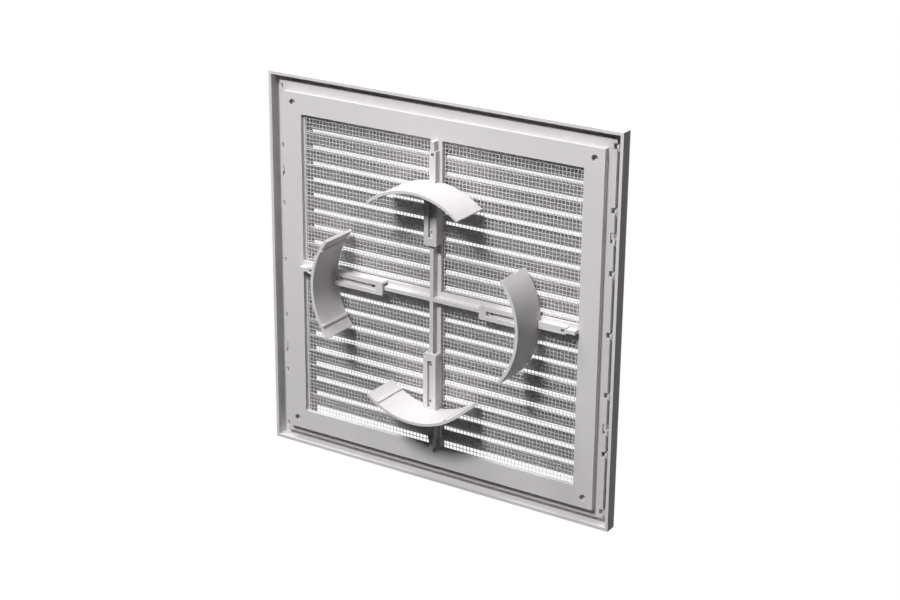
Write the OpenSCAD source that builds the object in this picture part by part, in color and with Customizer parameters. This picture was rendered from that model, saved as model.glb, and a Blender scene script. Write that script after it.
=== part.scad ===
// Square louvred air grille with an insect net and a rear frame that latches into
// its cover. Four curved petals slide on the frame's cross ribs, so that round
// ducts from 100 to 200 mm fit over them. The origin is the centre of the wall
// plane: the cover's front faces -Y, the wall and the duct lie towards +Y, and
// +Z is up. Left and right are as seen from the front.

/* [Cover] */
// Side of the square cover
cover_w = 249; // [200:1:320]
// Depth of the cover from the wall to its front face
cover_depth = 10; // [8.2:0.1:14]
// Radius of the cover's front edge
front_r = 2.7; // [0.5:0.1:4]
// Thickness of the rim that meets the wall
rim_t = 2; // [1.2:0.1:3]
// Thickness of the cover's front border
front_t = 2.4; // [1.6:0.1:2.7]
// Wall and sill round the slats, which carry their ends and the net
well_t = 2; // [1.7:0.1:3]
// Width of the post between the two columns of slats
mullion_w = 2.6; // [2:0.1:6]
// Side of the pads under the wall screws
pad_w = 9.2; // [7:0.1:9.4]

/* [Slats] */
// Slats in each column
slat_rows = 19; // [8:1:21]
// Fall of the slats towards the front, in degrees
slat_angle = 56; // [40:1:60]
// Thickness of a slat
slat_t = 0.9; // [0.7:0.1:1.6]
// Distance of the top slat from the wall above it
slat_top = 0.15; // [0:0.05:1]
// Height left over below the bottom slat, beyond its own pitch
slat_foot = 1.25; // [0:0.05:3]
// Fall of the sill below the slats towards the front, in degrees
sill_angle = 36; // [30:1:45]
// Clearance between the slats and the net
slat_gap = 0.1; // [0.05:0.05:0.5]

/* [Insect net] */
// Thickness of the net
net_t = 0.5; // [0.3:0.1:0.8]
// How far the net reaches behind the frame's edge
net_lap = 2; // [1:0.1:2.5]
// Gaps along one side of the net, each standing for a block of finer ones
net_gaps = 16; // [8:1:17]
// Width of a strand
strand_w = 1; // [0.6:0.1:2]

/* [Rear frame] */
// Gap between the frame's ledge and the cover's rim
frame_gap = 3.8; // [3:0.1:6]
// Width of the ledge that the cover's latches hold
ledge_lip = 5.4; // [4:0.1:8]
// Width of the raised plate round the opening
border_w = 13.3; // [12:0.1:20]
// How much further in the slats' ends lie than the opening's edge
field_inset = 1.5; // [0.5:0.1:1.6]
// How much further in the wall above the slats and the sill lie than the opening's edge
sill_inset = 0.2; // [0:0.1:1.2]
// Thickness of the plate
plate_t = 2; // [1.4:0.1:2.6]
// Height of the plate above the ledge
step_d = 3.8; // [3.2:0.1:4]
// Thickness of the ledge and of the plate's side walls
ledge_t = 1.6; // [1.2:0.1:1.8]
// Distance of the wall screws from the plate's edges
screw_inset = 6.6; // [6.4:0.1:6.8]
// Diameter of the wall screw holes
screw_d = 4.3; // [3.5:0.1:5.2]
// Diameter of the countersink for a screw's head
sink_d = 7.5; // [6.2:0.1:8.4]
// Diameter of the boss round a screw hole
screw_boss_d = 9.4; // [8.6:0.1:10]
// How far the bosses stand out in front of the plate
screw_boss_h = 0.6; // [0.3:0.1:1]

/* [Cross ribs] */
// Width of the flat bars that cross the opening
bar_w = 8.4; // [7:0.1:10]
// Width of the guide rib on each bar
rib_w = 2.4; // [1.6:0.1:3]
// Width of the rib where the petal screws go in
boss_w = 4.5; // [3.6:0.1:5.5]
// Height of the ribs above the plate
rib_h = 4.2; // [3:0.1:6]
// Pilot holes for petal screws on each arm of the cross
pilots = 3; // [1:1:3]
// Diameter of a pilot hole
pilot_d = 2.2; // [1.6:0.1:2.7]
// Distance of the innermost pilot hole from the centre
pilot_first = 43.3; // [40:0.1:46]
// Distance from one pilot hole to the next
pilot_step = 24.2; // [20:0.1:25]
// Wide rib beyond the outermost pilot holes
pilot_land = 2.2; // [1.6:0.1:4]
// Bar left under a pilot hole
pilot_floor = 1; // [0.6:0.1:1.3]

/* [Petals] */
// Outer radius of a petal
petal_r = 51.5; // [42:0.25:62]
// Distance from the centre to a petal's own axis, as set for a 150 mm duct
petal_shift = 23.25; // [20:0.25:32]
// Wall of a petal
petal_t = 2; // [1.4:0.1:2.6]
// Angle that a petal covers
petal_span = 79; // [60:0.2:86]
// Height of the beads along the inside of a petal
bead_h = 0.8; // [0.4:0.1:1.2]
// Angle that a bead covers
bead_span = 1.8; // [1:0.2:3]
// Angle from a petal's end to the middle of its bead
bead_inset = 9.4; // [4:0.2:14]
// How far a petal stands out from the wall plane
petal_reach = 27; // [20:0.5:40]
// Width of the arm that rides on the rib
arm_w = 9; // [8.4:0.1:11]
// Thickness of the arm over the rib
arm_t = 1.65; // [1.2:0.05:2.5]
// Distance of the arm's end from the centre
arm_end = 35; // [31:0.5:42]
// Corner radius of the arm's end
arm_round = 1.4; // [0.5:0.1:3]
// Width of the screw slot in the arm
slot_w = 3.1; // [2.4:0.1:3.8]
// Solid part of the arm between its end and the slot
slot_land = 5; // [3:0.1:8]
// Solid part of the arm between the slot and the petal
slot_root = 1.7; // [1:0.1:4]
// Clearance between a petal and what it slides on
slide_gap = 0.3; // [0.2:0.05:0.4]

/* [Pegs and latches] */
// Pegs on each side of the cover
pegs = 7; // [5:2:9]
// Height of a peg
peg_h = 2.4; // [1.6:0.1:3]
// Part of a peg that lies inside the ledge's edge
peg_in = 0.8; // [0.4:0.1:1.2]
// Part of a peg that lies outside the ledge's edge
peg_out = 0.8; // [0.4:0.1:1.8]
// How far a peg ends below the ledge's rear face
peg_drop = 1.1; // [0.2:0.1:1.4]
// Distance of the outer pegs from the ledge's corners
peg_margin = 4.1; // [4:0.1:8]
// Height of a latch
latch_h = 5.3; // [4:0.1:6]
// Distance of a latch beyond the middle between the second and third pegs
latch_shift = 2.7; // [0:0.1:4]
// Height of the hook below a latch's finger
latch_hook_h = 2.3; // [1.6:0.1:3]
// How far a latch's lip laps over the ledge
latch_over = 0.5; // [0.3:0.1:0.6]
// Thickness of a latch's lip
latch_lip = 0.8; // [0.5:0.1:0.9]
// How far a latch ends below the ledge's rear face
latch_drop = 0.1; // [0:0.05:0.2]
// Clearance above and below a peg or latch in its notch
notch_free = 0.6; // [0.5:0.1:0.8]
// Clearance beside a latch's finger in its notch, and round its lip
latch_free = 0.5; // [0.2:0.1:0.8]
// Depth of a notch from the ledge's edge
notch_depth = 2.2; // [1.8:0.1:3]

/* [Hidden] */
$fn = 96;
cut = 0.5;
sides = [-1, 1];

ledge_w = cover_w - 2 * (rim_t + frame_gap);
plate_w = ledge_w - 2 * ledge_lip;
opening_w = plate_w - 2 * border_w;
field_w = opening_w - 2 * field_inset;
field_h = opening_w - 2 * sill_inset;
net_w = opening_w + 2 * net_lap;
skirt_inner_w = plate_w - 2 * ledge_t;
screw_pitch = plate_w - 2 * screw_inset;

front_y = -cover_depth;
floor_y = front_y + front_t;
ledge_y = -step_d - ledge_t;
net_y = -plate_t - net_t;
pad_y = -plate_t - screw_boss_h;

slat_y = net_y - slat_gap;
slat_back = slat_t * sin(slat_angle);
slat_rise = slat_t * cos(slat_angle);
slat_pitch = (field_h - slat_top - slat_foot) / slat_rows;
slat_len = (field_w - mullion_w) / 2;
function slat_fall(y) = (y - front_y) * tan(slat_angle);

boss_in = pilot_first - pilot_land;
boss_out = pilot_first + (pilots - 1) * pilot_step + pilot_land;

channel_w = boss_w + 2 * slide_gap;
arm_front_y = rib_h + slide_gap;
arm_rear_y = arm_front_y + arm_t;
slot_in = arm_end + slot_land;
slot_out = petal_shift + petal_r - petal_t - slot_root;

peg_step = (ledge_w - 2 * peg_margin) / (pegs - 1);
peg_y = -step_d - peg_drop;
latch_z = 1.5 * peg_step + latch_shift;
latch_y = -step_d - latch_drop;

petal_names = ["right_petal", "top_petal", "left_petal", "bottom_petal"];
slat_numbers = [1:slat_rows];
function slat_name(side, n) = str(side < 0 ? "left" : "right", "_slat_", n < 10 ? "0" : "", n);

// Extrudes a drawing in X and Z from depth y0 to depth y1
module along_y(y0, y1) {
    translate([0, y1, 0])
        rotate([90, 0, 0])
            linear_extrude(y1 - y0)
                children();
}

// Extrudes a drawing in Y and Z over a width w across the middle plane
module along_x(w) {
    translate([-w / 2, 0, 0])
        rotate([90, 0, 90])
            linear_extrude(w)
                children();
}

// Square slab centred on the Y axis
module slab(w, y0, y1) {
    along_y(y0, y1)
        square(w, center = true);
}

// Square ring centred on the Y axis
module ring(outer_w, inner_w, y0, y1) {
    along_y(y0, y1)
        difference() {
            square(outer_w, center = true);
            square(inner_w, center = true);
        }
}

// Repeats a shape at the corners of a square
module at_corners(pitch) {
    for (x = sides)
        for (z = sides)
            translate([x * pitch / 2, 0, z * pitch / 2])
                children();
}

// Repeats a first shape at the pegs and a second one at the latches
module at_pegs() {
    for (turned = [0, 1])
        mirror([turned, 0, 0])
            translate([ledge_w / 2, 0, 0]) {
                for (i = [0:pegs - 1])
                    translate([0, 0, i * peg_step + peg_margin - ledge_w / 2])
                        children(0);
                for (side = sides)
                    translate([0, 0, side * latch_z])
                        children(1);
            }
}

// Section of the cover across X, with its rounded front edges
module cover_section() {
    translate([-cover_w / 2, front_y + front_r])
        square([cover_w, cover_depth - front_r]);
    translate([front_r - cover_w / 2, front_y])
        square([cover_w - 2 * front_r, cover_depth]);
    for (side = sides)
        translate([side * (cover_w / 2 - front_r), front_y + front_r])
            circle(front_r);
}

// Block of the cover's outer shape, its section carried along both sides
module cover_block() {
    intersection_for(turn = [0, 90])
        rotate([0, turn, 0])
            translate([0, 0, -cover_w / 2])
                linear_extrude(cover_w)
                    cover_section();
}

// Side view of the space for the slats, widened by a margin: level above, with a
// sill below that falls towards the front
module field_side(y0, y1, margin) {
    top = field_h / 2 + margin;
    sill = -field_h / 2 - margin / cos(sill_angle);
    polygon([
        [y0, top],
        [y1, top],
        [y1, sill + (y1 - net_y) * tan(sill_angle)],
        [y0, sill + (y0 - net_y) * tan(sill_angle)]
    ]);
}

// Peg at the ledge's edge, which keeps the cover and the frame in line
module peg() {
    post_y = floor_y - cut;
    translate([-peg_in, post_y, -peg_h / 2])
        cube([peg_in + peg_out, peg_y - post_y, peg_h]);
}

// Latch: a finger in the upper part of its notch, and below it a hook at the
// ledge's edge, whose lip laps over a recess in the ledge
module latch() {
    post_y = floor_y - cut;
    bottom = -latch_h / 2;
    reach = notch_free + latch_over;
    translate([latch_free - notch_depth, post_y, bottom + latch_hook_h - cut])
        cube([notch_depth - latch_free, latch_y - post_y, latch_h - latch_hook_h + cut]);
    translate([-peg_in, post_y, bottom])
        cube([peg_in + peg_out, latch_y - post_y, latch_hook_h]);
    translate([-peg_in, latch_y - latch_lip, bottom - reach])
        cube([peg_in + peg_out, latch_lip, reach + cut]);
}

// Notch in the ledge, of height h without its clearance
module notch(h) {
    translate([-notch_depth, ledge_y - cut, -h / 2 - notch_free])
        cube([notch_depth + cut, ledge_t + 2 * cut, h + 2 * notch_free]);
}

// Notch for a latch, with the recess that its lip bears on
module latch_notch() {
    depth = latch_drop + latch_lip;
    width = peg_in + latch_free;
    height = latch_over + latch_free;
    notch(latch_h);
    translate([-width, -step_d - depth, -latch_h / 2 - notch_free - height])
        cube([width + cut, depth + cut, height + cut]);
}

module front_cover() {
    color("white") {
        difference() {
            union() {
                difference() {
                    cover_block();
                    slab(cover_w - 2 * rim_t, floor_y, cut);
                }
                along_x(field_w + 2 * well_t)
                    field_side(floor_y - cut, net_y, well_t);
            }
            along_x(field_w)
                field_side(front_y - cut, net_y + cut, 0);
        }
        along_x(mullion_w)
            field_side(front_y, net_y, well_t / 2);
        at_corners(screw_pitch)
            slab(pad_w, floor_y - cut, pad_y);
        at_pegs() {
            peg();
            latch();
        }
    }
}

// Slat in the column on the given side, counted from the top, with its rear end
// cut square
module slat(side, n) {
    x0 = side < 0 ? -field_w / 2 : mullion_w / 2;
    color("white")
        translate([x0, 0, field_h / 2 - slat_top - (n - 1) * slat_pitch])
            rotate([90, 0, 90])
                linear_extrude(slat_len)
                    polygon([
                        [slat_y - slat_back, 0],
                        [slat_y, -slat_rise],
                        [front_y, -slat_rise - slat_fall(slat_y)],
                        [front_y, -slat_fall(slat_y - slat_back)]
                    ]);
}

module insect_net() {
    pitch = opening_w / net_gaps;
    first = (pitch - opening_w) / 2;
    color("gainsboro")
        along_y(net_y, -plate_t)
            difference() {
                square(net_w, center = true);
                for (i = [0:net_gaps - 1])
                    for (j = [0:net_gaps - 1])
                        translate([first + i * pitch, first + j * pitch])
                            square(pitch - strand_w, center = true);
            }
}

// Flat bar along X with its guide rib, which is wider where the pilot holes are
module cross_bar() {
    along_y(-plate_t, 0)
        square([opening_w + 2 * cut, bar_w], center = true);
    along_y(-cut, rib_h) {
        square([opening_w, rib_w], center = true);
        for (side = sides)
            translate([side * (boss_in + boss_out) / 2, 0])
                square([boss_out - boss_in, boss_w], center = true);
    }
}

// Pilot holes along X for the petal screws
module pilot_holes() {
    for (side = sides)
        for (i = [0:pilots - 1])
            translate([side * (pilot_first + i * pilot_step), pilot_floor - plate_t, 0])
                rotate([-90, 0, 0])
                    cylinder(h = rib_h + plate_t, d = pilot_d);
}

// Boss on the front of the plate round a wall screw
module screw_boss() {
    translate([0, -cut, 0])
        rotate([90, 0, 0])
            cylinder(h = -pad_y - cut, d = screw_boss_d);
}

// Hole for a wall screw, countersunk from the front
module screw_hole() {
    translate([0, cut, 0])
        rotate([90, 0, 0])
            cylinder(h = 2 * cut - pad_y, d = screw_d);
    translate([0, pad_y, 0])
        rotate([-90, 0, 0])
            cylinder(h = (sink_d - screw_d) / 2, d1 = sink_d, d2 = screw_d);
}

module rear_frame() {
    color("white")
        difference() {
            union() {
                ring(plate_w, opening_w, -plate_t, 0);
                ring(plate_w, skirt_inner_w, ledge_y, 0);
                ring(ledge_w, skirt_inner_w, ledge_y, -step_d);
                for (turn = [0, 90])
                    rotate([0, turn, 0])
                        cross_bar();
                at_corners(screw_pitch)
                    screw_boss();
            }
            for (turn = [0, 90])
                rotate([0, turn, 0])
                    pilot_holes();
            at_corners(screw_pitch)
                screw_hole();
            at_pegs() {
                notch(peg_h);
                latch_notch();
            }
        }
}

// Part of a round wall of outer radius r between two angles
module arc_wall(r, t, from, to) {
    reach = 2 * r;
    intersection() {
        difference() {
            circle(r);
            circle(r - t);
        }
        polygon(concat([[0, 0]], [
            for (a = [from, (from + to) / 2, to]) reach * [cos(a), sin(a)]
        ]));
    }
}

// Petal's curved wall, with a bead along its inside near each end
module petal_wall() {
    half = petal_span / 2;
    arc_wall(petal_r, petal_t, -half, half);
    for (side = sides) {
        middle = side * (half - bead_inset);
        arc_wall(
            petal_r - petal_t / 2,
            petal_t / 2 + bead_h,
            middle - bead_span / 2,
            middle + bead_span / 2
        );
    }
}

// Outline of the arm: square at the petal, with round corners at its free end
module arm_outline() {
    root = petal_shift + petal_r - petal_t / 2;
    translate([arm_end + arm_round, -arm_w / 2])
        square([root - arm_end - arm_round, arm_w]);
    translate([arm_end, arm_round - arm_w / 2])
        square([2 * arm_round, arm_w - 2 * arm_round]);
    for (side = sides)
        translate([arm_end + arm_round, side * (arm_w / 2 - arm_round)])
            circle(arm_round);
}

// Petal on the rib towards +X, turned about Y for the other ribs
module petal(turn) {
    color("white")
        rotate([0, -turn, 0])
            difference() {
                union() {
                    along_y(slide_gap, petal_reach)
                        translate([petal_shift, 0])
                            petal_wall();
                    along_y(slide_gap, arm_rear_y)
                        arm_outline();
                }
                along_y(slide_gap - cut, arm_front_y)
                    translate([arm_end - cut, -channel_w / 2])
                        square([petal_shift + petal_r - arm_end + 2 * cut, channel_w]);
                along_y(arm_front_y - cut, arm_rear_y + cut)
                    translate([slot_in, -slot_w / 2])
                        square([slot_out - slot_in, slot_w]);
            }
}

front_cover();
insect_net();
rear_frame();
for (i = [0:len(petal_names) - 1])
    petal(90 * i);
for (side = sides)
    for (n = slat_numbers)
        slat(side, n);
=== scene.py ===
"""Looks of a square louvred air grille, seen from behind as in the photograph.

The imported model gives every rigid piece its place. This script rounds the edges
of the moulded pieces, sweeps the louvre blades, weaves the fine insect net, gives
each piece its finish, and sets up a plain studio with the photograph's camera.
"""

import logging
from dataclasses import dataclass, field
from enum import Enum
from math import radians

import bmesh
import bpy
import numpy as np
from mathutils import Matrix, Vector


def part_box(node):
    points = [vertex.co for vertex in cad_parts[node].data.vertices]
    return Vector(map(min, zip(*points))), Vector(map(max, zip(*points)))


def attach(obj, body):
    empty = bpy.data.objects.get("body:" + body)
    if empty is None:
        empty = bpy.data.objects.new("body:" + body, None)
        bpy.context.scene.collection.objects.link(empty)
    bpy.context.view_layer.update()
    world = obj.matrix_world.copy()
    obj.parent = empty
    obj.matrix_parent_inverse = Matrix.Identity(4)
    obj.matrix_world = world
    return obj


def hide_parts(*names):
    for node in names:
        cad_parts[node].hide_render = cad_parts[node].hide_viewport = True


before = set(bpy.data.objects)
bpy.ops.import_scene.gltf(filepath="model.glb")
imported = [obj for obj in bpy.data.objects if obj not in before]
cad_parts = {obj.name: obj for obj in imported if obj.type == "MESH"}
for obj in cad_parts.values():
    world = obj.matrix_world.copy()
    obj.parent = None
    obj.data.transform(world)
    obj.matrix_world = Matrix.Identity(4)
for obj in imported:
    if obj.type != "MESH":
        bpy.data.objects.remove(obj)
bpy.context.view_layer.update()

log = logging.getLogger("air_grille")
MM = 0.001
WHITE = (1.0, 1.0, 1.0, 1.0)
FLOW_STRETCH = (1.0, 1.0, 0.35)
CLOUD_OCTAVES = 3.0
SMEAR_OCTAVES = 6.0
GRAIN_OCTAVES = 2.0
JOIN_WITHIN = 0.001 * MM
FLAT_WITHIN_DEGREES = 0.5


class Body(Enum):
    """Rigid bodies that pieces ride on."""

    GRILLE = "grille"
    RIGHT_PETAL = "right_petal"
    TOP_PETAL = "top_petal"
    LEFT_PETAL = "left_petal"
    BOTTOM_PETAL = "bottom_petal"


class Slot(Enum):
    """Material slots of the record."""

    PLASTIC = "white_plastic"
    NET = "net_plastic"


class Column(Enum):
    """Columns of louvre blades, as seen from the front."""

    LEFT = "left"
    RIGHT = "right"


def moulded_detail() -> bpy.types.NodeTree:
    """Builds, once, the node group that all moulded plastics share.

    Three noises over Object coordinates give a soft cloud of tone, a smear of
    gloss that is drawn out along the flow of the plastic, and a fine grain.

    Returns:
        The node group, with inputs for the sizes in metres.
    """
    name = "moulded_detail"
    if name in bpy.data.node_groups:
        return bpy.data.node_groups[name]
    group = bpy.data.node_groups.new(name, "ShaderNodeTree")
    for label in ("Cloud Size", "Grain Size"):
        group.interface.new_socket(label, in_out="INPUT", socket_type="NodeSocketFloat")
    for label in ("Cloud", "Smear", "Grain"):
        group.interface.new_socket(label, in_out="OUTPUT", socket_type="NodeSocketFloat")
    inputs = group.nodes.new("NodeGroupInput")
    outputs = group.nodes.new("NodeGroupOutput")
    place = group.nodes.new("ShaderNodeTexCoord")

    stretch = group.nodes.new("ShaderNodeMapping")
    stretch.inputs["Scale"].default_value = FLOW_STRETCH
    group.links.new(place.outputs["Object"], stretch.inputs["Vector"])

    patterns = {
        "Cloud": ("Cloud Size", place.outputs["Object"], CLOUD_OCTAVES),
        "Smear": ("Cloud Size", stretch.outputs["Vector"], SMEAR_OCTAVES),
        "Grain": ("Grain Size", place.outputs["Object"], GRAIN_OCTAVES),
    }
    for label, (size, vector, octaves) in patterns.items():
        noise = group.nodes.new("ShaderNodeTexNoise")
        noise.inputs["Detail"].default_value = octaves
        scale = group.nodes.new("ShaderNodeMath")
        scale.operation = "DIVIDE"
        scale.inputs[0].default_value = 1.0
        group.links.new(inputs.outputs[size], scale.inputs[1])
        group.links.new(scale.outputs["Value"], noise.inputs["Scale"])
        group.links.new(vector, noise.inputs["Vector"])
        group.links.new(noise.outputs["Fac"], outputs.inputs[label])
    return group


@dataclass(frozen=True)
class PlasticFinish:
    """Moulded plastic: a base colour with faint cloudy tone, gloss and grain.

    The colours are linear. Sizes of the pattern are in metres.
    """

    name: str
    colour: tuple[float, float, float]
    shade: tuple[float, float, float]
    cloud_size: float = 0.03
    roughness: tuple[float, float] = (0.4, 0.5)
    grain_size: float = 0.0006
    grain_height: float = 0.00002
    specular: float = 0.2

    def material(self) -> bpy.types.Material:
        """Builds the finish, once, as a node material.

        Returns:
            The material of this finish's name.
        """
        if self.name in bpy.data.materials:
            return bpy.data.materials[self.name]
        material = bpy.data.materials.new(self.name)
        material.use_nodes = True
        tree = material.node_tree
        shader = tree.nodes["Principled BSDF"]
        shader.inputs["Specular IOR Level"].default_value = self.specular

        detail = tree.nodes.new("ShaderNodeGroup")
        detail.node_tree = moulded_detail()
        detail.inputs["Cloud Size"].default_value = self.cloud_size
        detail.inputs["Grain Size"].default_value = self.grain_size

        tone = tree.nodes.new("ShaderNodeMix")
        tone.data_type = "RGBA"
        tone.inputs["A"].default_value = (*self.colour, 1.0)
        tone.inputs["B"].default_value = (*self.shade, 1.0)
        tree.links.new(detail.outputs["Cloud"], tone.inputs["Factor"])
        tree.links.new(tone.outputs["Result"], shader.inputs["Base Color"])

        gloss = tree.nodes.new("ShaderNodeMapRange")
        gloss.inputs["To Min"].default_value = self.roughness[0]
        gloss.inputs["To Max"].default_value = self.roughness[1]
        tree.links.new(detail.outputs["Smear"], gloss.inputs["Value"])
        tree.links.new(gloss.outputs["Result"], shader.inputs["Roughness"])

        bump = tree.nodes.new("ShaderNodeBump")
        bump.inputs["Distance"].default_value = self.grain_height
        tree.links.new(detail.outputs["Grain"], bump.inputs["Height"])
        tree.links.new(bump.outputs["Normal"], shader.inputs["Normal"])
        return material


WHITE_PLASTIC = PlasticFinish("white_plastic_finish", colour=(0.72, 0.70, 0.705),
                              shade=(0.68, 0.66, 0.665))
NET_PLASTIC = PlasticFinish("net_plastic_finish", colour=(0.76, 0.74, 0.745),
                            shade=(0.72, 0.70, 0.705),
                            cloud_size=0.012, roughness=(0.45, 0.6))


def link_mesh(name: str, vertices: np.ndarray, sides: list[list[int]],
              ends: list[list[int]]) -> bpy.types.Object:
    """Puts points and faces into a new mesh object.

    Args:
        name: Name of the piece.
        vertices: Points in metres, one row each.
        sides: Indices of the corners of each face that is shaded smooth.
        ends: Indices of the corners of each face that is shaded flat.

    Returns:
        The linked object, at the origin.
    """
    mesh = bpy.data.meshes.new(name)
    mesh.from_pydata(vertices.tolist(), [], sides + ends)
    mesh.polygons.foreach_set("use_smooth", [True] * len(sides) + [False] * len(ends))
    piece = bpy.data.objects.new(name, mesh)
    bpy.context.scene.collection.objects.link(piece)
    return piece


def swept_quads(rings: int, points: int) -> np.ndarray:
    """Gives the quads of a closed profile carried along an open path.

    Each quad joins two neighbours of one ring to the same two of the next.

    Args:
        rings: Number of rings along the path.
        points: Number of points in each ring.

    Returns:
        Indices of four corners, one row for each quad.
    """
    ring, point = np.meshgrid(np.arange(rings - 1), np.arange(points), indexing="ij")
    after = (point + 1) % points
    corners = [ring * points + point, ring * points + after,
               (ring + 1) * points + after, (ring + 1) * points + point]
    return np.stack(corners, axis=-1).reshape(-1, 4)


def rounded_outline(corners: np.ndarray, radii: np.ndarray, arc_points: int) -> np.ndarray:
    """Rounds each corner of a closed outline with an arc.

    With u and v the unit vectors from a corner along its two sides, and w half
    the angle between them, the arc's centre lies radius / sin w from the corner
    along u + v. Its ends touch the sides radius / tan w from the corner, and its
    points turn about the centre from one end to the other.

    Args:
        corners: Corners in order, one row each.
        radii: Radius at each corner.
        arc_points: Number of points on each arc.

    Returns:
        Points of the rounded outline in the same order, one row each.
    """
    before = np.roll(corners, 1, axis=0) - corners
    after = np.roll(corners, -1, axis=0) - corners
    u = before / np.linalg.norm(before, axis=1, keepdims=True)
    v = after / np.linalg.norm(after, axis=1, keepdims=True)
    half = np.arccos(np.sum(u * v, axis=1))[:, None] / 2
    inward = (u + v) / np.linalg.norm(u + v, axis=1, keepdims=True)
    offset = inward * radii[:, None] / np.sin(half)
    start = u * radii[:, None] / np.tan(half) - offset
    end = v * radii[:, None] / np.tan(half) - offset
    turn = np.pi - 2 * half
    share = np.linspace(0, 1, arc_points)
    near = np.sin((1 - share) * turn) / np.sin(turn)
    far = np.sin(share * turn) / np.sin(turn)
    arcs = near[..., None] * start[:, None] + far[..., None] * end[:, None]
    return ((corners + offset)[:, None] + arcs).reshape(-1, 2)


def softened_copy(node: str, radius: float, segments: int = 2,
                  sharp_from: float = 32.0) -> bpy.types.Object:
    """Copies a solid, joins its loose triangles and rounds its sharp edges.

    Args:
        node: Name of the solid.
        radius: Radius of its edges, as the mould leaves them.
        segments: Number of faces across a rounded edge.
        sharp_from: Angle in degrees from which an edge counts as sharp.

    Returns:
        The rounded piece, at the origin.
    """
    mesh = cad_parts[node].data.copy()
    mesh.name = f"{node}_shell"
    mesh.materials.clear()
    joined = bmesh.new()
    joined.from_mesh(mesh)
    bmesh.ops.remove_doubles(joined, verts=joined.verts, dist=JOIN_WITHIN)
    bmesh.ops.dissolve_limit(joined, angle_limit=radians(FLAT_WITHIN_DEGREES),
                             verts=joined.verts, edges=joined.edges)
    joined.to_mesh(mesh)
    joined.free()
    if "custom_normal" in mesh.attributes:
        mesh.attributes.remove(mesh.attributes["custom_normal"])
    mesh.shade_smooth()
    piece = bpy.data.objects.new(mesh.name, mesh)
    bpy.context.scene.collection.objects.link(piece)
    bevel = piece.modifiers.new("mould_radius", "BEVEL")
    bevel.width = radius
    bevel.segments = segments
    bevel.limit_method = "ANGLE"
    bevel.angle_limit = radians(sharp_from)
    bevel.harden_normals = True
    return piece


@dataclass
class SubAssembly:
    """Pieces that are built together, stand for solids and share one finish."""

    finish: PlasticFinish = WHITE_PLASTIC
    slot: Slot = Slot.PLASTIC
    body: Body = Body.GRILLE
    pieces: list[bpy.types.Object] = field(default_factory=list, init=False)

    def adopt(self, piece: bpy.types.Object, node: str) -> None:
        """Lets a piece stand for a solid, and ties it to its body.

        Args:
            piece: The new piece.
            node: Name of the solid that it stands for.
        """
        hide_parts(node)
        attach(piece, self.body.value)
        self.pieces.append(piece)

    def build(self) -> None:
        """Makes the pieces."""
        raise NotImplementedError

    def dress(self) -> None:
        """Gives each piece the finish and reports it."""
        material = self.finish.material()
        for piece in self.pieces:
            piece.data.materials.append(material)
            log.info("piece %s on %s: %s", piece.name, self.body.value, material.name)


@dataclass
class FrontCover(SubAssembly):
    """Cover with its rim, well, sill, middle post, screw pads, pegs and latches."""

    node: str = "front_cover"
    edge_radius: float = 0.25 * MM

    def build(self) -> None:
        """Rounds the moulded edges of the cover."""
        self.adopt(softened_copy(self.node, self.edge_radius), self.node)


@dataclass
class RearFrame(SubAssembly):
    """Frame with its ledge, plate, cross bars, guide ribs and screw holes."""

    node: str = "rear_frame"
    edge_radius: float = 0.25 * MM

    def build(self) -> None:
        """Rounds the moulded edges of the frame."""
        self.adopt(softened_copy(self.node, self.edge_radius), self.node)


@dataclass
class DuctPetal(SubAssembly):
    """Curved petal with its beads and the slotted arm that rides on a rib."""

    edge_radius: float = 0.25 * MM

    def build(self) -> None:
        """Rounds the moulded edges of the petal, which is a body of its own."""
        node = self.body.value
        self.adopt(softened_copy(node, self.edge_radius), node)


@dataclass
class LouvreBank(SubAssembly):
    """Two columns of slanting blades with rounded edges."""

    rows: int = 19
    angle: float = 56.0
    thickness: float = 0.9 * MM
    edge_radius: float = 0.2 * MM
    arc_points: int = 5

    def build(self) -> None:
        """Makes each blade where its solid is."""
        for column in Column:
            for row in range(1, self.rows + 1):
                node = f"{column.value}_slat_{row:02d}"
                self.adopt(self._blade(node), node)

    def _blade(self, node: str) -> bpy.types.Object:
        """Carries a blade's rounded section straight across its column.

        The section is a bar that falls to the front at the blade's angle. Its
        rear end is cut square and its front end upright. With t the thickness
        and a the angle, the square end is t cos a high and t sin a deep, and the
        upright end is t / cos a high.

        Args:
            node: Name of the solid that the blade stands for.

        Returns:
            The blade, at the origin.
        """
        low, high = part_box(node)
        slope = radians(self.angle)
        corners = np.array([
            [low[1], low[2] + self.thickness / np.cos(slope)],
            [low[1], low[2]],
            [high[1], high[2] - self.thickness * np.cos(slope)],
            [high[1] - self.thickness * np.sin(slope), high[2]],
        ])
        radii = np.full(len(corners), self.edge_radius)
        section = rounded_outline(corners, radii, self.arc_points)
        points = len(section)
        reach = np.array([low[0], high[0]])
        across = np.broadcast_to(reach[:, None, None], (2, points, 1))
        vertices = np.concatenate([across, np.broadcast_to(section, (2, points, 2))], axis=-1)
        ring = np.arange(points)
        sides = swept_quads(2, points).tolist()
        ends = [ring[::-1].tolist(), (ring + points).tolist()]
        blade = link_mesh(f"{node}_blade", vertices.reshape(-1, 3), sides, ends)
        blade.modifiers.new("flat_sides", "WEIGHTED_NORMAL")
        return blade


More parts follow.
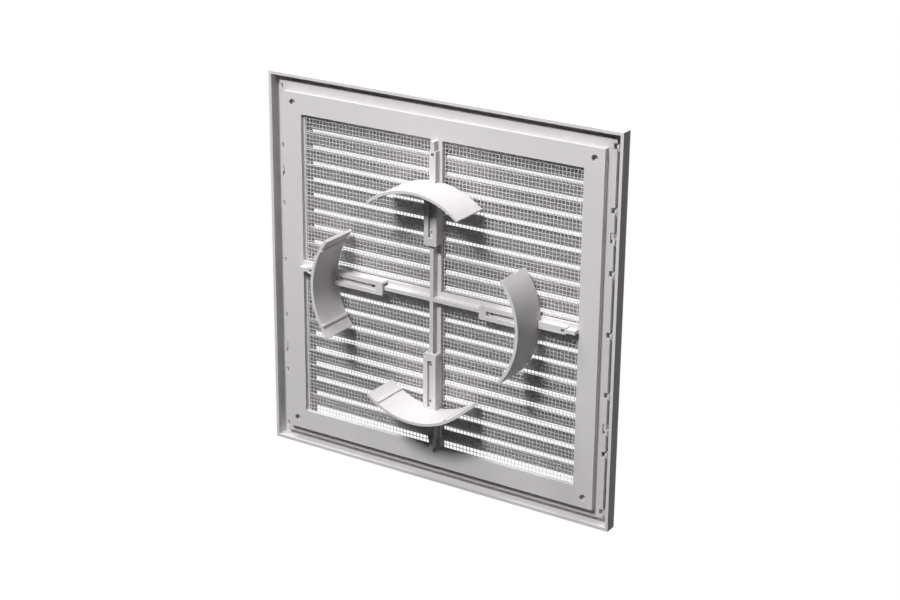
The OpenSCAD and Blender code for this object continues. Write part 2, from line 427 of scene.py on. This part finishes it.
@dataclass
class InsectNet(SubAssembly):
    """Fine square net of flat strands, in place of the coarse solid."""

    finish: PlasticFinish = NET_PLASTIC
    slot: Slot = Slot.NET
    node: str = "insect_net"
    gaps: int = 80
    strand_w: float = 0.41 * MM
    strand_t: float = 0.08 * MM
    lap: float = 2.0 * MM
    profile_points: int = 8

    def build(self) -> None:
        """Weaves the net as one mesh of upright and level strands.

        A strand's profile is a flat band with rounded edges: w/2 and t/2 times
        the square roots of cos a and sin a, with their signs kept, where w is
        the strand's width and t its thickness. It is carried straight across
        the net, once for each line of the grid in each direction. Level strands
        take their profile backwards, so that their faces point outwards too.
        """
        low, high = (np.array(corner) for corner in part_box(self.node))
        angle = np.linspace(0, 2 * np.pi, self.profile_points, endpoint=False)
        wide, thick = (np.sign(turn) * np.sqrt(np.abs(turn))
                       for turn in (np.cos(angle), np.sin(angle)))
        across = wide * self.strand_w / 2
        deep = (low[1] + high[1]) / 2 + thick * self.strand_t / 2
        uprights = self._strands(low[0], high[0], low[2], high[2], across, deep, (0, 1, 2))
        levels = self._strands(low[2], high[2], low[0], high[0], across, deep, (2, 1, 0))
        vertices = np.concatenate([uprights, levels[:, :, ::-1]]).reshape(-1, 3)
        first = np.arange(2 * (self.gaps + 1)) * 2 * self.profile_points
        ring = np.arange(self.profile_points)
        caps = np.stack([ring[::-1], ring + self.profile_points])
        sides, ends = [(first[:, None, None] + part).reshape(-1, part.shape[1]).tolist()
                       for part in (swept_quads(2, self.profile_points), caps)]
        self.adopt(link_mesh("fine_insect_net", vertices, [], sides + ends), self.node)

    def _strands(self, side_0: float, side_1: float, end_0: float, end_1: float,
                 across: np.ndarray, deep: np.ndarray, order: tuple[int, int, int]) -> np.ndarray:
        """Places one direction of strands on the grid.

        Args:
            side_0: Lowest place across the strands.
            side_1: Highest place across the strands.
            end_0: Where the strands start.
            end_1: Where the strands end.
            across: The profile's offsets across a strand.
            deep: The profile's depths.
            order: Which of across, deep and along go to X, Y and Z.

        Returns:
            Points by strand, ring, place in the profile and axis.
        """
        lines = np.linspace(side_0 + self.lap, side_1 - self.lap, self.gaps + 1)
        along = np.array([end_0, end_1])
        shape = (len(lines), len(along), len(across))
        parts = [
            np.broadcast_to(lines[:, None, None] + across, shape),
            np.broadcast_to(deep, shape),
            np.broadcast_to(along[:, None], shape),
        ]
        return np.stack([parts[i] for i in order], axis=-1)


@dataclass
class Lamp:
    """Soft square lamp that points at the grille.

    Its place and size are in metres, and its power is in watts.
    """

    name: str
    place: tuple[float, float, float]
    size: float
    power: float

    def build(self) -> None:
        """Makes the lamp and turns it towards the origin."""
        light = bpy.data.lights.new(self.name, "AREA")
        light.size = self.size
        light.energy = self.power
        lamp = bpy.data.objects.new(self.name, light)
        lamp.location = self.place
        lamp.rotation_euler = Vector(self.place).to_track_quat("Z", "Y").to_euler()
        bpy.context.scene.collection.objects.link(lamp)


LAMPS = (
    Lamp("key", (0.1, 1.485, 1.62), 0.4, 46.5),
    Lamp("overhead", (0.6, 0.37, 2.085), 0.55, 28.5),
    Lamp("near_top", (0.0, 0.24, 0.66), 0.25, 0.4),
    Lamp("right_fill", (-1.2, 0.4, 0.2), 0.6, 0.9),
    Lamp("front_fill", (0.6, -1.1, 0.34), 0.6, 4.5),
)


@dataclass
class Studio:
    """Plain white studio with the photograph's camera.

    The backdrop looks white to the camera, and only the lamps light the grille.
    Places and sizes are in metres, the camera's lens and sensor in millimetres.
    """

    camera_place: tuple[float, float, float] = (-0.61498, 0.95084, 0.42909)
    camera_aim: tuple[float, float, float] = (-0.01067, 0.0, 0.00072)
    camera_roll: float = 0.563
    lens: float = 79.27
    sensor: float = 36.0
    floor_z: float = -0.9
    floor_size: float = 200.0
    floor_tone: float = 0.6
    shadow_glow: float = 0.7
    shadow_reach: tuple[float, float] = (1.27, 1.58)

    def build(self) -> None:
        """Makes the camera, the lamps, the surroundings and the floor."""
        scene = bpy.context.scene
        scene.view_settings.view_transform = "Standard"
        scene.camera = self._camera()
        for lamp in LAMPS:
            lamp.build()
        self._surroundings()
        self._floor()

    def _camera(self) -> bpy.types.Object:
        """Places the camera where the photograph was taken from.

        Returns:
            The camera's object.
        """
        data = bpy.data.cameras.new("camera")
        data.lens = self.lens
        data.sensor_width = self.sensor
        camera = bpy.data.objects.new("camera", data)
        back = Vector(self.camera_place) - Vector(self.camera_aim)
        level = back.to_track_quat("Z", "Y").to_matrix().to_4x4()
        roll = Matrix.Rotation(radians(self.camera_roll), 4, "Z")
        camera.matrix_world = Matrix.Translation(self.camera_place) @ level @ roll
        bpy.context.scene.collection.objects.link(camera)
        return camera

    def _seen_backdrop(self, tree: bpy.types.NodeTree) -> bpy.types.NodeSocket:
        """Adds a mask of the rays that see the backdrop itself.

        Args:
            tree: Node tree that the mask goes into.

        Returns:
            Socket that is 1 for camera, glossy and transmission rays.
        """
        path = tree.nodes.new("ShaderNodeLightPath")
        total = path.outputs["Is Camera Ray"]
        for kind in ("Is Glossy Ray", "Is Transmission Ray"):
            larger = tree.nodes.new("ShaderNodeMath")
            larger.operation = "MAXIMUM"
            tree.links.new(total, larger.inputs[0])
            tree.links.new(path.outputs[kind], larger.inputs[1])
            total = larger.outputs["Value"]
        return total

    def _surroundings(self) -> None:
        """Makes a world that looks white and throws no light on the grille."""
        world = bpy.data.worlds.new("studio")
        bpy.context.scene.world = world
        world.use_nodes = True
        tree = world.node_tree
        sky = tree.nodes["Background"]
        sky.inputs["Color"].default_value = WHITE
        tree.links.new(self._seen_backdrop(tree), sky.inputs["Strength"])

    def _floor(self) -> None:
        """Lays a plain pale floor under the grille."""
        half = self.floor_size / 2
        corners = np.array([[-1, -1], [1, -1], [1, 1], [-1, 1]]) * half
        points = np.column_stack([corners, np.full(4, self.floor_z)])
        floor = link_mesh("floor", points, [], [[0, 1, 2, 3]])
        floor.data.materials.append(self._pale_floor())

    def _pale_floor(self) -> bpy.types.Material:
        """Builds a floor that keeps the shadow and runs into the white.

        Below the grille it shows the lamps and the shadow. Away from it, a glow
        takes over. It is dark to diffuse rays, so it throws no light back.

        Returns:
            The floor's material.
        """
        material = bpy.data.materials.new("pale_floor")
        material.use_nodes = True
        tree = material.node_tree
        shader = tree.nodes["Principled BSDF"]
        shader.inputs["Roughness"].default_value = 1.0
        shader.inputs["Specular IOR Level"].default_value = 0.0
        shader.inputs["Emission Color"].default_value = WHITE
        seen = self._seen_backdrop(tree)
        place = tree.nodes.new("ShaderNodeTexCoord")
        away = tree.nodes.new("ShaderNodeVectorMath")
        away.operation = "LENGTH"
        tree.links.new(place.outputs["Object"], away.inputs[0])
        near, far = self.shadow_reach
        levels = {
            "Base Color": (self.floor_tone, 0.0),
            "Emission Strength": (self.shadow_glow, 1.0),
        }
        for socket, (below, beyond) in levels.items():
            fade = tree.nodes.new("ShaderNodeMapRange")
            fade.interpolation_type = "SMOOTHSTEP"
            fade.inputs["From Min"].default_value = near
            fade.inputs["From Max"].default_value = far
            fade.inputs["To Min"].default_value = below
            fade.inputs["To Max"].default_value = beyond
            tree.links.new(away.outputs["Value"], fade.inputs["Value"])
            masked = tree.nodes.new("ShaderNodeMath")
            masked.operation = "MULTIPLY"
            tree.links.new(seen, masked.inputs[0])
            tree.links.new(fade.outputs["Result"], masked.inputs[1])
            tree.links.new(masked.outputs["Value"], shader.inputs[socket])
        return material


def main() -> None:
    """Builds and dresses the sub-assemblies and sets up the studio."""
    logging.basicConfig(level=logging.INFO, format="%(message)s")
    petals = [DuctPetal(body=body) for body in Body if body is not Body.GRILLE]
    for group in [FrontCover(), LouvreBank(), InsectNet(), RearFrame(), *petals]:
        group.build()
        group.dress()
    Studio().build()


if __name__ == "__main__":
    main()
